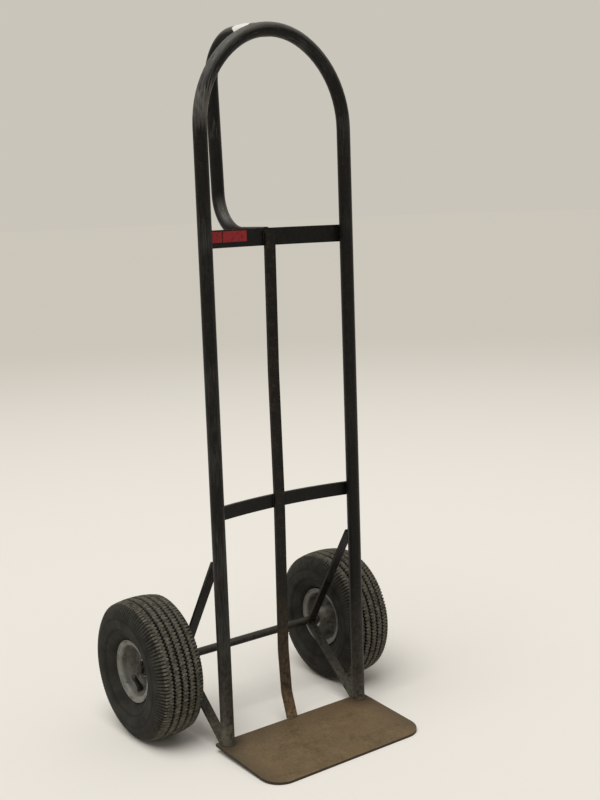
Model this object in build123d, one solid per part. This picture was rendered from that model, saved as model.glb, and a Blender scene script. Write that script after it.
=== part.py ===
from build123d import *
from build123d.topology import SkipClean
import os
from math import acos, atan2, cos, hypot, radians, sin, sqrt

os.makedirs("parts", exist_ok=True)

# A two-wheeled hand truck, in millimetres.
# X runs to the right as seen from the load side, -Y is the load side and +Z is up.
# The origin is on the floor, at the middle of the truck's footprint.

# Frame tube: rail, arch and rail in one bend
tube_od = 25.4
tube_wall = 2.1
rail_spacing = 314.3
frame_height = 1318.2
arch_crown_radius = 140.0
arch_crown_angle = 30.6638

# Loop handle behind the arch
loop_od = 25.4
loop_wall = 2.1
loop_rise = 8.0
loop_crest = 80.0
loop_setback = 203.3
loop_lean = 11.3
loop_bend_radius = 79.0
loop_foot_drop = 10.8

# Crossbars: flat bar on the backs of the rails, bowed backwards
bar_thickness = 6.0
bar_bow = 19.0
bar_lap = 3.0
upper_bar_top = 959.6
upper_bar_height = 31.75
lower_bar_top = 460.5
lower_bar_height = 25.4

# Centre strap: flat bar on the fronts of the crossbars
strap_width = 22.0
strap_thickness = 6.0
strap_top_inset = 6.0
strap_straight = 8.0
strap_sag = 3.0
strap_belly = 4.8
strap_belly_height = 150.0
strap_knee_height = 66.0
strap_knee_lead = 1.0
strap_foot_lead = 22.0
strap_bend_radius = 40.0

# Toe plate, sloping down to its front edge
plate_width = 354.0
plate_thickness = 4.8
plate_slope = 3.75
plate_corner_radius = 40.0
plate_heel_radius = 1.5
toe_reach = 175.5
load_line = 15.0

# Axle and the V brackets that carry it
axle_diameter = 15.875
axle_setback = 161.5
axle_tail = 4.7
axle_chamfer = 1.0
bracket_width = 19.05
bracket_thickness = 5.0
bracket_bend_radius = 7.0
bracket_aim = 365.3
bracket_top = 364.0

# Tyre and inner tube
tyre_radius = 136.0
tyre_section = 104.0
tyre_wall = 6.0
tread_width = 78.0
tread_drop = 4.5
tread_thickness = 11.0
tread_shoulder = 9.0
groove_count = 4
groove_pitch = 15.0
groove_width = 3.6
groove_depth = 4.0
bead_width = 10.0
bead_rise = 0.8
inner_tube_wall = 2.5

# Rim: two pressed halves, disc to disc
rim_seat_radius = 50.8
rim_flange_radius = 60.2
rim_disc_radius = 42.0
rim_width = 66.0
rim_seat_length = 11.1
rim_gauge = 2.0
rim_bend_radius = 4.0
rim_lip_radius = 0.8

# Hub and its ball bearings
hub_od = 38.1
hub_outboard = 12.5
hub_shoulder = 2.5
bearing_od = 34.925
ball_diameter = 6.0
ball_count = 9
race_land = 1.1
cage_thickness = 1.5
cage_bar = 1.0
seal_thickness = 0.8
seal_recess = 0.3

# What sits on the axle beside the wheel
tyre_clearance = 7.2
spacer_length = 9.2
spacer_od = 23.0
washer_od = 28.0
washer_thickness = 2.0
cotter_hole = 4.0
cotter_diameter = 3.4
cotter_wire = 1.4
cotter_part = 0.9
cotter_setoff = 2.0
cotter_eye_radius = 3.0
cotter_neck = 1.2
cotter_drop = 2.4
cotter_leg = 6.0

# Valve
valve_offset = 16.0
valve_foot_diameter = 11.0
valve_stem_diameter = 9.0
valve_rise = 9.0
valve_lean = 30.0
valve_length = 23.5
valve_thread_diameter = 7.7
valve_thread_length = 8.0
valve_cap_diameter = 9.8
valve_cap_length = 10.5
valve_cap_round = 1.5
valve_clock = {"left": -104.5, "right": 40.0}

# Clearances
weld_gap = 0.1
press_gap = 0.02
axle_fit = 0.04
running_gap = 0.3
hole_clearance = 0.2

# Places worked out from the sizes above, with Y counted from the plane of the rails
half_spacing = rail_spacing / 2
rail_seat = tube_od / 2 + weld_gap
arch_top = frame_height - tube_od / 2
crown_turn = radians(arch_crown_angle)
arch_side_radius = (half_spacing - arch_crown_radius * sin(crown_turn)) / (1 - sin(crown_turn))
axle_z = tyre_radius
rail_y = (toe_reach - axle_setback - tyre_radius) / 2
plate_heel = tube_od / 2
slope = radians(plate_slope)
toe_front = toe_reach - plate_thickness * sin(slope)
plate_length = (toe_front + plate_heel) / cos(slope)
bow_centre = (bar_bow**2 - half_spacing**2) / (2 * bar_bow)
bar_front_radius = rail_seat + bar_bow - bow_centre
bracket_outer = half_spacing + bracket_width / 2
wheel_x = bracket_outer + tyre_clearance + tyre_section / 2
hub_inboard = wheel_x - bracket_outer - spacer_length
bearing_bore = axle_diameter + 2 * axle_fit
bearing_width = ball_diameter + 2 * (cage_bar + running_gap + seal_thickness + seal_recess)
pitch_radius = (bearing_bore + bearing_od) / 4
washer_x = wheel_x + hub_outboard + running_gap
cotter_x = washer_x + washer_thickness + cotter_setoff
axle_length = 2 * (cotter_x + axle_tail)
beyond = 2 * frame_height


def write(name, shape):
    """Puts a piece in the truck's frame and writes its file."""
    export_step(Pos(0, rail_y, 0) * shape, f"parts/{name}.step")


def swept(path, section):
    """A section, drawn with its first axis along X, carried along a path from the path's start."""
    start = Plane(origin=path @ 0, x_dir=(1, 0, 0), z_dir=path % 0)
    return sweep(start * section, path=path)


def rod(radius, low, high):
    """A round bar about the X axis, from low to high along it."""
    return Pos(low, 0, 0) * Rot(0, 90, 0) * extrude(Circle(radius), amount=high - low)


def ring(inner_radius, outer_radius, low, high):
    """A ring about the X axis, from low to high along it."""
    face = Circle(outer_radius) - Circle(inner_radius)
    return Pos(low, 0, 0) * Rot(0, 90, 0) * extrude(face, amount=high - low)


# Main frame tube


def frame_path():
    """Up the left rail, round the three-centred arch and down the right rail."""
    crown_z = arch_top - arch_crown_radius
    spring_z = crown_z - (arch_side_radius - arch_crown_radius) * cos(crown_turn)
    join_x = arch_crown_radius * sin(crown_turn)
    join_z = crown_z + arch_crown_radius * cos(crown_turn)
    foot = Vector(half_spacing, 0, 0)
    spring = Vector(half_spacing, 0, spring_z)
    join = Vector(join_x, 0, join_z)
    left = [Vector(-p.X, p.Y, p.Z) for p in (foot, spring, join)]
    edges = [
        Line(left[0], left[1]),
        TangentArc(left[1], left[2], tangent=(0, 0, 1)),
        ThreePointArc(left[2], (0, 0, arch_top), join),
        TangentArc(spring, join, tangent=(0, 0, 1)),
        Line(spring, foot),
    ]
    return Wire(edges)


toe_plane = Plane(origin=(0, -toe_front, 0), x_dir=(1, 0, 0), z_dir=(0, -sin(slope), cos(slope)))
plate_top = toe_plane.offset(plate_thickness)
under_plate = extrude(plate_top * Rectangle(beyond, beyond), amount=-beyond)

rails = frame_path()
rail_start = Plane(origin=rails @ 0, x_dir=(1, 0, 0), z_dir=rails % 0)
frame_outer = sweep(rail_start * Circle(tube_od / 2), path=rails)
frame_bore = sweep(rail_start * Circle(tube_od / 2 - tube_wall), path=rails)
frame_envelope = sweep(rail_start * Circle(rail_seat), path=rails)
main_frame_tube = frame_outer - frame_bore - under_plate
write("main_frame_tube", main_frame_tube)

# Toe plate, its top divided at the line that a load stands in front of

plate_outline = Pos(0, plate_length / 2) * Rectangle(plate_width, plate_length)
plate_corners = plate_outline.vertices().group_by(Axis.Y)
plate_outline = fillet(plate_corners[0], radius=plate_corner_radius)
plate_corners = plate_outline.vertices().group_by(Axis.Y)
plate_outline = fillet(plate_corners[-1], radius=plate_heel_radius)
plate_blank = extrude(toe_plane * plate_outline, amount=plate_thickness)
in_front = split(plate_blank, bisect_by=Plane.XZ.offset(load_line), keep=Keep.TOP)
behind = split(plate_blank, bisect_by=Plane.XZ.offset(load_line), keep=Keep.BOTTOM)
with SkipClean():
    toe_plate = in_front + behind
write("toe_plate", toe_plate)

# Crossbars


def crossbar(top, height):
    """A flat bar bowed on an arc that just meets the backs of both rails."""
    arc = Circle(bar_front_radius + bar_thickness) - Circle(bar_front_radius)
    window = Pos(0, beyond / 2) * Rectangle(rail_spacing + 2 * bar_lap, beyond)
    face = (Pos(0, bow_centre) * arc) & window
    return extrude(Pos(0, 0, top - height) * face, amount=height)


write("upper_crossbar", crossbar(upper_bar_top, upper_bar_height))
write("lower_crossbar", crossbar(lower_bar_top, lower_bar_height))

# Centre strap


def centre_strap():
    """Flat bar laid on the fronts of both bars, a little bent, with its foot led forwards to the plate."""
    seat = bow_centre + sqrt(bar_front_radius**2 - (strap_width / 2) ** 2) - weld_gap
    y = seat - strap_thickness / 2
    lower_bar_bottom = lower_bar_top - lower_bar_height
    upper_bar_bottom = upper_bar_top - upper_bar_height
    below_upper = upper_bar_bottom - strap_straight
    above_lower = lower_bar_top + strap_straight
    points = [
        (0, y, upper_bar_top - strap_top_inset),
        (0, y, below_upper),
        (0, y + strap_sag, (below_upper + above_lower) / 2),
        (0, y, above_lower),
        (0, y, lower_bar_bottom - strap_straight),
        (0, y + strap_belly, strap_belly_height),
        (0, y - strap_knee_lead, strap_knee_height),
        (0, y - strap_foot_lead, 0),
    ]
    path = FilletPolyline(*points, radius=strap_bend_radius)
    return swept(path, Rectangle(strap_width, strap_thickness)) - under_plate


write("centre_strap", centre_strap())

# Loop handle


def loop_handle():
    """Tube from the back of the arch's crown, up to a level run, then round two bends to the upper bar."""
    high_z = arch_top + loop_rise
    low_z = upper_bar_top - loop_foot_drop
    bar_back = rail_seat + bar_bow + bar_thickness + weld_gap
    points = [
        (0, 0, arch_top),
        (0, loop_crest, high_z),
        (0, loop_setback, high_z),
        (0, loop_setback - loop_lean, low_z),
        (0, bar_back, low_z),
    ]
    path = FilletPolyline(*points, radius=loop_bend_radius)
    tube = swept(path, Circle(loop_od / 2)) - swept(path, Circle(loop_od / 2 - loop_wall))
    return tube - frame_envelope


write("loop_handle_tube", loop_handle())

# Axle and V brackets


def tangent_point(centre, radius, point, turn):
    """Where the line from a point touches a circle, in the YZ plane, on the side that turn names."""
    away = point - centre
    angle = atan2(away.Z, away.Y) + turn * acos(radius / hypot(away.Y, away.Z))
    return centre + Vector(0, radius * cos(angle), radius * sin(angle))


def axle_bracket(x):
    """Flat bar bent to a V, its point against the front of the axle and its ends on the back of a rail."""
    mid_radius = bracket_bend_radius + bracket_thickness / 2
    point_y = axle_setback - axle_diameter / 2 - weld_gap - bracket_thickness / 2
    centre = Vector(x, point_y - mid_radius, axle_z)
    heel_z = toe_plane.from_local_coords((0, plate_length, plate_thickness / 2)).Z
    top = Vector(x, rail_seat, bracket_aim)
    heel = Vector(x, rail_seat, heel_z)
    upper = tangent_point(centre, mid_radius, top, -1)
    lower = tangent_point(centre, mid_radius, heel, 1)
    run_on = 2 * bracket_thickness
    start = top + (top - upper).normalized() * run_on
    end = heel + (heel - lower).normalized() * run_on
    bend = ThreePointArc(upper, centre + Vector(0, mid_radius, 0), lower)
    path = Wire([Line(start, upper), bend, Line(lower, end)])
    ahead = Pos(x, rail_seat - beyond / 2, 0) * Box(beyond, beyond, beyond)
    above = Pos(x, 0, bracket_top + beyond / 2) * Box(beyond, beyond, beyond)
    return swept(path, Rectangle(bracket_width, bracket_thickness)) - ahead - above


write("left_axle_bracket", axle_bracket(-half_spacing))
write("right_axle_bracket", axle_bracket(half_spacing))


def axle_bar():
    """Round bar with chamfered ends and an upright cross hole near each end."""
    bar = rod(axle_diameter / 2, -axle_length / 2, axle_length / 2)
    rims = bar.edges().filter_by(GeomType.CIRCLE)
    bar = chamfer(rims, length=axle_chamfer)
    for side in (-1, 1):
        bar -= Pos(side * cotter_x, 0, 0) * Cylinder(cotter_hole / 2, 2 * axle_diameter)
    return Pos(0, axle_setback, axle_z) * bar


write("axle", axle_bar())

# Tyre, inner tube and rim, drawn about the X axis with +X outwards


def mirrored(points):
    """The same points on the other side of the wheel's middle plane."""
    return [(-x, r) for x, r in points]


def closed_section(crown, shoulder, belly, bead, foot):
    """A section through the crown, both shoulders, both sidewalls and both beads, closed at the foot."""
    edges = [ThreePointArc(mirrored([shoulder])[0], crown, shoulder)]
    for side in (1, -1):
        flank = [(side * x, r) for x, r in (shoulder, belly, bead, foot)]
        edges.append(TangentArc(flank[1], flank[0], tangent=(0, 1)))
        edges.append(TangentArc(flank[1], flank[2], tangent=(0, -1)))
        edges.append(Line(flank[2], flank[3]))
    edges.append(Line(foot, mirrored([foot])[0]))
    return make_face(edges)


bead_x = rim_width / 2 - press_gap
bead_top = rim_flange_radius + bead_rise
belly_radius = (tyre_radius + rim_flange_radius) / 2
carcass = closed_section(
    (0, tyre_radius),
    (tread_width / 2, tyre_radius - tread_drop),
    (tyre_section / 2, belly_radius),
    (bead_x, bead_top),
    (bead_x, rim_seat_radius),
)
hollow = closed_section(
    (0, tyre_radius - tread_thickness),
    (tread_width / 2 - tread_shoulder, tyre_radius - tread_drop - tread_thickness),
    (tyre_section / 2 - tyre_wall, belly_radius),
    (bead_x - bead_width, bead_top),
    (bead_x - bead_width, rim_seat_radius),
)


def tyre():
    """Carcass with seats for the rim, and straight grooves round the tread."""
    heels = carcass.vertices().group_by(Axis.Y)[0]
    shape = revolve(fillet(heels, radius=rim_bend_radius) - hollow, axis=Axis.X)
    for i in range(groove_count):
        x = (i - (groove_count - 1) / 2) * groove_pitch
        surface = tyre_radius - tread_drop * (x / (tread_width / 2)) ** 2
        cut = ring(surface - groove_depth, 2 * tyre_radius, x - groove_width / 2, x + groove_width / 2)
        shape -= cut
    return shape


def inner_tube():
    """A closed tube that fills the tyre's hollow down to the rim."""
    outside = offset(hollow, amount=-running_gap)
    inside = offset(hollow, amount=-running_gap - inner_tube_wall)
    return revolve(outside - inside, axis=Axis.X)


def rim_half():
    """One pressed half: a disc on the hub, a cone, a seat under the bead and a flange beside it."""
    low = weld_gap / 2
    high = low + rim_gauge
    hub = hub_od / 2 + press_gap
    seat = rim_seat_radius - press_gap
    under = seat - rim_gauge
    inside = rim_width / 2
    outside = inside + rim_gauge
    cone = inside - rim_seat_length
    points = [
        (high, hub),
        (high, rim_disc_radius),
        (cone, under),
        (outside, under),
        (outside, rim_flange_radius),
        (inside, rim_flange_radius),
        (inside, seat),
        (cone, seat),
        (low, rim_disc_radius + rim_gauge),
        (low, hub),
    ]
    tight = rim_bend_radius
    wide = rim_bend_radius + rim_gauge
    lip = rim_lip_radius
    edge = FilletPolyline(*points, radius=[tight, wide, wide, lip, lip, tight, tight, wide])
    return revolve(make_face([edge, Line(points[-1], points[0])]), axis=Axis.X)


# Valve, drawn with +Z pointing out from the axle

valve_root = sqrt((rim_seat_radius + running_gap) ** 2 - (valve_foot_diameter / 2) ** 2) - weld_gap
valve_bend = Vector(valve_offset, 0, valve_root - valve_rise)
valve_dir = Vector(sin(radians(valve_lean)), 0, -cos(radians(valve_lean)))
upright = (Align.CENTER, Align.CENTER, Align.MIN)


def valve_part(distance):
    """A plane across the leaning stem at a distance from the bend."""
    return Plane(origin=valve_bend + valve_dir * distance, x_dir=(0, 1, 0), z_dir=valve_dir)


def valve_stem():
    """Moulded foot through the rim, a bend, a tapering stem and a threaded tip."""
    foot_radius = valve_foot_diameter / 2
    foot = Pos(valve_offset, 0, valve_bend.Z) * Cylinder(foot_radius, valve_rise, align=upright)
    elbow = Pos(valve_bend) * Sphere(foot_radius)
    stem = valve_part(0) * Cone(foot_radius, valve_stem_diameter / 2, valve_length, align=upright)
    tip = valve_part(valve_length) * Cylinder(valve_thread_diameter / 2, valve_thread_length, align=upright)
    return foot + elbow + stem + tip


def valve_cap():
    """A cap over the threaded tip."""
    cap = Cylinder(valve_cap_diameter / 2, valve_cap_length, align=upright)
    rims = cap.edges().filter_by(GeomType.CIRCLE).group_by(Axis.Z)[-1]
    cap = fillet(rims, radius=valve_cap_round)
    bore = Cylinder(valve_thread_diameter / 2 + press_gap, valve_thread_length + weld_gap, align=upright)
    return valve_part(valve_length + weld_gap) * (cap - bore)


def valve_hole():
    """The hole that the valve's foot takes in the rim."""
    depth = rim_seat_radius + running_gap - rim_disc_radius
    hole = Cylinder(valve_foot_diameter / 2 + hole_clearance, depth, align=upright)
    return Pos(valve_offset, 0, rim_disc_radius) * hole


# Hub and bearings


def hub():
    """A plain barrel with a bearing seat at each end."""
    seat = bearing_od / 2 + press_gap
    depth = bearing_width + press_gap
    shape = ring(bearing_od / 2 - hub_shoulder, hub_od / 2, -hub_inboard, hub_outboard)
    shape -= rod(seat, hub_outboard - depth, hub_outboard + depth)
    shape -= rod(seat, -hub_inboard - depth, -hub_inboard + depth)
    return shape


ball_radius = ball_diameter / 2
land_in = pitch_radius - race_land
land_out = pitch_radius + race_land
half_width = bearing_width / 2


def raceway(radius):
    """The round groove that a ring of balls runs in."""
    return Rot(0, 90, 0) * Torus(pitch_radius, radius)


def ball_set(radius):
    """A ring of spheres on the pitch circle."""
    step = 360 / ball_count
    return [Rot(i * step, 0, 0) * Pos(0, 0, pitch_radius) * Sphere(radius) for i in range(ball_count)]


def inner_race():
    """The race that stands still on the axle."""
    return ring(bearing_bore / 2, land_in, -half_width, half_width) - raceway(ball_radius + running_gap)


def outer_race():
    """The race that turns with the hub."""
    return ring(land_out, bearing_od / 2, -half_width, half_width) - raceway(ball_radius + press_gap)


def cage():
    """A thin ring with a pocket for each ball."""
    reach = ball_radius + cage_bar
    shape = ring(pitch_radius - cage_thickness / 2, pitch_radius + cage_thickness / 2, -reach, reach)
    for pocket in ball_set(ball_radius + press_gap):
        shape -= pocket
    return shape


def seals():
    """A thin seal in each side of the outer race, just clear of the inner race."""
    outside = half_width - seal_recess
    inside = outside - seal_thickness
    pair = [(inside, outside), (-outside, -inside)]
    return [ring(land_in + running_gap, land_out - press_gap, low, high) for low, high in pair]


def group(shapes):
    """Several solids that share one node."""
    return Compound([solid for shape in shapes for solid in shape.solids()])


# Pieces beside the wheel on the axle


def axle_spacer():
    """Short sleeve between the bracket and the inner bearing."""
    start = -hub_inboard - spacer_length + weld_gap
    return ring(axle_diameter / 2 + axle_fit, spacer_od / 2, start, -hub_inboard - running_gap)


def axle_washer():
    """Flat washer outside the outer bearing."""
    low = washer_x - wheel_x
    return ring(axle_diameter / 2 + axle_fit, washer_od / 2, low, low + washer_thickness)


def cotter_pin():
    """Split pin: an eye above the axle, a shank through it and two legs bent apart below it."""
    top = axle_diameter / 2 + weld_gap
    wire = cotter_wire / 2
    eye_height = top + cotter_neck + cotter_eye_radius
    eye = Pos(0, 0, eye_height) * Rot(0, 90, 0) * Torus(cotter_eye_radius, cotter_wire)
    shank = Pos(0, 0, -top) * Cylinder(cotter_diameter / 2, 2 * top + cotter_neck, align=upright)
    shape = shank + eye
    for side in (-1, 1):
        points = [
            (0, side * cotter_part, 0),
            (0, side * cotter_part, -top - cotter_drop),
            (0, side * (cotter_part + cotter_leg), -top - cotter_drop),
        ]
        path = FilletPolyline(*points, radius=cotter_drop)
        shape += swept(path, Circle(wire))
    return Pos(cotter_x - wheel_x, 0, 0) * shape


# Both wheels and what holds them

washers = []
cotters = []
for side, sign, turn in (("left", -1, 180), ("right", 1, 0)):
    place = Pos(sign * wheel_x, axle_setback, axle_z) * Rot(0, 0, turn)
    clock = Rot(valve_clock[side] - 90, 0, 0)
    write(f"{side}_tyre", place * tyre())
    write(f"{side}_inner_tube", place * inner_tube())
    write(f"{side}_rim_outer_half", place * (rim_half() - clock * valve_hole()))
    write(f"{side}_rim_inner_half", place * Rot(0, 0, 180) * rim_half())
    write(f"{side}_valve_stem", place * clock * valve_stem())
    write(f"{side}_valve_cap", place * clock * valve_cap())
    write(f"{side}_hub", place * hub())
    bearings = {"outer": hub_outboard - half_width, "inner": half_width - hub_inboard}
    for end, x in bearings.items():
        seat = place * Pos(x, 0, 0)
        write(f"{side}_{end}_bearing_outer_race", seat * outer_race())
        write(f"{side}_{end}_bearing_inner_race", seat * inner_race())
        write(f"{side}_{end}_bearing_balls", seat * group(ball_set(ball_radius)))
        write(f"{side}_{end}_bearing_cage", seat * cage())
        write(f"{side}_{end}_bearing_seals", seat * group(seals()))
    write(f"{side}_axle_spacer", place * axle_spacer())
    washers.append(place * axle_washer())
    cotters.append(place * cotter_pin())

write("axle_washers", group(washers))
write("cotter_pins", group(cotters))
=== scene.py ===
import math

import bpy
import numpy as np
from mathutils import Matrix, Vector


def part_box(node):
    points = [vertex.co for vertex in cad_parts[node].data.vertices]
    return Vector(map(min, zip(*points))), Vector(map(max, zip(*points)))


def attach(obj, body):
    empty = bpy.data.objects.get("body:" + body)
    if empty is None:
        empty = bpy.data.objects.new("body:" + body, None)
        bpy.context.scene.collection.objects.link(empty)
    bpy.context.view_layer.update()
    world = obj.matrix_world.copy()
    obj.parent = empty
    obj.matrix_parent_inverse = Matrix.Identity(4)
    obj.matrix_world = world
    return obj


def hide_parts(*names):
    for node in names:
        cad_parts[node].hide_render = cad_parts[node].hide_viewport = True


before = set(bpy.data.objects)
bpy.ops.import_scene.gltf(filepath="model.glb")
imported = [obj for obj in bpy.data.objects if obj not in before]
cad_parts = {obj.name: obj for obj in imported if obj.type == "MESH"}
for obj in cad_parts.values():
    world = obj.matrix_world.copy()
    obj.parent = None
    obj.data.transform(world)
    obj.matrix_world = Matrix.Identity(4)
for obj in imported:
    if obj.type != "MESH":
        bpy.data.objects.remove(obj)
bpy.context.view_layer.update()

# A hand truck: worn black tube frame, rusty toe plate, grey pressed steel rims and dusty tyres.
# Lengths are in metres. MM turns a drawing size in millimetres into metres.
MM = 0.001

# Places read from the frame
tube_low, tube_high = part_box("main_frame_tube")
loop_low, loop_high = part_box("loop_handle_tube")
upper_low, upper_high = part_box("upper_crossbar")
lower_low, lower_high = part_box("lower_crossbar")
strap_low, strap_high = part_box("centre_strap")
plate_low, plate_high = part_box("toe_plate")
_, bracket_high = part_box("right_axle_bracket")
axle_low, axle_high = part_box("axle")
wheel_low, wheel_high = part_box("right_tyre")
TUBE_R = (tube_high.y - tube_low.y) / 2
RAIL_Y = (tube_high.y + tube_low.y) / 2
RAIL_X = tube_high.x - TUBE_R
RAIL_BACK = RAIL_Y + TUBE_R
ARCH_TOP = tube_high.z - TUBE_R
PLATE_HALF = plate_high.x
STRAP_HALF = strap_high.x
AXLE_R = (axle_high.z - axle_low.z) / 2
AXLE_Y = (axle_high.y + axle_low.y) / 2
AXLE_Z = (axle_high.z + axle_low.z) / 2
WHEEL_X = (wheel_low.x + wheel_high.x) / 2

# Sizes that the frame's boxes do not give
CROWN_R = 140.0 * MM
ARCH_CENTRE = ARCH_TOP - CROWN_R
LOOP_SLOPE = 0.1
BAR_THICK = 6.0 * MM
BAR_BOW_R = 672.2 * MM
BAR_FRONT = upper_high.y - BAR_THICK
PLATE_THICK = 4.8 * MM
PLATE_SLOPE = math.radians(3.75)
HELD_FROM = 1.1

rng = np.random.default_rng(41)


# Mesh tools


def grid_faces(rows, columns, close_rows, close_columns):
    """Four-sided faces of a grid of points numbered row by row; a closed side joins its last line
    to its first."""
    a = np.arange(rows if close_rows else rows - 1)[:, None]
    b = np.arange(columns if close_columns else columns - 1)[None, :]
    a2 = (a + 1) % rows
    b2 = (b + 1) % columns
    corners = [a * columns + b, a * columns + b2, a2 * columns + b2, a2 * columns + b]
    return np.stack([np.broadcast_to(c, (a.size, b.size)) for c in corners], -1).reshape(-1, 4)


def make_piece(name, points, faces, material, body, values=None):
    """Puts worked-out points and faces into a smooth mesh that rides on a body.
    values is a dictionary of one number a point, which the materials read by name."""
    mesh = bpy.data.meshes.new(name)
    mesh.from_pydata(points.reshape(-1, 3), [], faces)
    mesh.polygons.foreach_set("use_smooth", np.ones(len(mesh.polygons), dtype=bool))
    for key, numbers in (values or {}).items():
        layer = mesh.attributes.new(key, "FLOAT", "POINT")
        layer.data.foreach_set("value", np.ascontiguousarray(numbers, dtype=np.float32).ravel())
    mesh.materials.append(material)
    mesh.update()
    piece = bpy.data.objects.new(name, mesh)
    bpy.context.scene.collection.objects.link(piece)
    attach(piece, body)
    return piece


def rounded(corners, radii, count):
    """An open outline through the corners, each inner corner rounded to its radius by an arc of count
    points: the arc's centre stands on the corner's bisector, radius / sin(half the corner's angle) from
    it."""
    corners = np.array(corners, dtype=float)
    outline = [corners[:1]]
    for before, here, after, radius in zip(corners, corners[1:], corners[2:], radii):
        back = (before - here) / np.linalg.norm(before - here)
        on = (after - here) / np.linalg.norm(after - here)
        half = math.acos(np.clip(back @ on, -1, 1)) / 2
        bisector = (back + on) / np.linalg.norm(back + on)
        centre = here + bisector * radius / math.sin(half)
        first = here + back * radius / math.tan(half) - centre
        last = here + on * radius / math.tan(half) - centre
        share = np.linspace(0, 1, count)[:, None]
        sweep = math.pi - 2 * half
        arc = (np.sin((1 - share) * sweep) * first + np.sin(share * sweep) * last) / math.sin(sweep)
        outline.append(centre + arc)
    outline.append(corners[-1:])
    return np.concatenate(outline)


def bead(path, radius, closed):
    """Points and faces of a weld bead: a circle carried along a path, its radius swelling in even ripples
    and by a little chance, and drawn in to nothing at the ends of an open path."""
    ripple = 2.4 * MM
    sides = 10
    if closed:
        path = np.concatenate([path, path[:1]])
    steps = np.linalg.norm(np.diff(path, axis=0), axis=1)
    along = np.concatenate([[0], np.cumsum(steps)])
    count = max(12, int(along[-1] / (0.8 * MM)))
    s = np.linspace(0, along[-1], count, endpoint=not closed)
    line = np.stack([np.interp(s, along, path[:, i]) for i in range(3)], -1)
    tangent = np.roll(line, -1, 0) - np.roll(line, 1, 0)
    if not closed:
        tangent[0] = line[1] - line[0]
        tangent[-1] = line[-1] - line[-2]
    tangent /= np.linalg.norm(tangent, axis=1)[:, None]
    spare = np.where(np.abs(tangent[:, 2:]) < 0.8, [[0.0, 0.0, 1.0]], [[0.6, 0.8, 0.0]])
    side = np.cross(tangent, spare)
    side /= np.linalg.norm(side, axis=1)[:, None]
    over = np.cross(side, tangent)
    chance = rng.uniform(-1, 1, 12)
    chance[-1] = chance[0]
    swell = 1 + 0.22 * np.interp(s, np.linspace(0, along[-1], 12), chance)
    size = radius * swell * (1 + 0.1 * np.sin(2 * np.pi * s / ripple))
    if not closed:
        reach = np.minimum(s, along[-1] - s) / (1.5 * radius)
        size = size * np.sqrt(np.clip(reach, 0.02, 1))
    turn = np.linspace(0, 2 * np.pi, sides, endpoint=False)
    ring = np.cos(turn)[None, :, None] * side[:, None] + np.sin(turn)[None, :, None] * over[:, None]
    points = line[:, None] + size[:, None, None] * ring
    faces = grid_faces(count, sides, closed, True).tolist()
    if not closed:
        faces.append(list(range(sides)))
        faces.append(list(range(count * sides - sides, count * sides))[::-1])
    return points.reshape(-1, 3), faces


# Material tools


def paint(code):
    """Linear colour of an sRGB hex code."""
    srgb = np.array([int(code[i:i + 2], 16) for i in (1, 3, 5)]) / 255
    linear = np.where(srgb <= 0.04045, srgb / 12.92, ((srgb + 0.055) / 1.055) ** 2.4)
    return (*linear.tolist(), 1.0)


def add(tree, kind, inputs=None, **settings):
    """Adds a node; settings are its own properties, inputs are values or links for its sockets."""
    node = tree.nodes.new("ShaderNode" + kind)
    for key, value in settings.items():
        setattr(node, key, value)
    for key, value in (inputs or {}).items():
        if isinstance(value, bpy.types.NodeSocket):
            tree.links.new(value, node.inputs[key])
        else:
            node.inputs[key].default_value = value
    return node


def blend(tree, share, start, end):
    """The colour that goes from start to end as the share goes from 0 to 1."""
    return add(tree, "Mix", {0: share, 6: start, 7: end}, data_type="RGBA").outputs[2]


def new_material(name):
    """An empty node material with its shader and output joined, and its tree."""
    material = bpy.data.materials.new(name)
    material.use_nodes = True
    tree = material.node_tree
    tree.nodes.clear()
    shader = add(tree, "BsdfPrincipled")
    add(tree, "OutputMaterial", {"Surface": shader.outputs["BSDF"]})
    return material, tree, shader


def along_arch(tree, axes):
    """Coordinates that follow the rails and the arch: the distance out from the arch's upright axis or
    centre, Y, and the length along the tube, which goes on above the arch's springing as the angle times
    the half width. The right side is moved 7 m along, so that the two sides differ."""
    out = add(tree, "Math", {0: axes.outputs[0]}, operation="ABSOLUTE")
    rise = add(tree, "Math", {0: axes.outputs[2], 1: ARCH_CENTRE}, operation="SUBTRACT")
    rise = add(tree, "Math", {0: rise.outputs[0], 1: 0.0}, operation="MAXIMUM")
    angle = add(tree, "Math", {0: rise.outputs[0], 1: out.outputs[0]}, operation="ARCTAN2")
    straight = add(tree, "Math", {0: axes.outputs[2], 1: ARCH_CENTRE}, operation="MINIMUM")
    bent = {0: angle.outputs[0], 1: RAIL_X, 2: straight.outputs[0]}
    length = add(tree, "Math", bent, operation="MULTIPLY_ADD")
    hand = add(tree, "Math", {0: axes.outputs[0]}, operation="SIGN")
    moved = {0: hand.outputs[0], 1: 7.0, 2: length.outputs[0]}
    length = add(tree, "Math", moved, operation="MULTIPLY_ADD")
    spoke = add(tree, "CombineXYZ", {0: out.outputs[0], 1: rise.outputs[0]})
    reach = add(tree, "VectorMath", {0: spoke.outputs[0]}, operation="LENGTH")
    route = {0: reach.outputs["Value"], 1: axes.outputs[1], 2: length.outputs[0]}
    return add(tree, "CombineXYZ", route).outputs[0]


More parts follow.
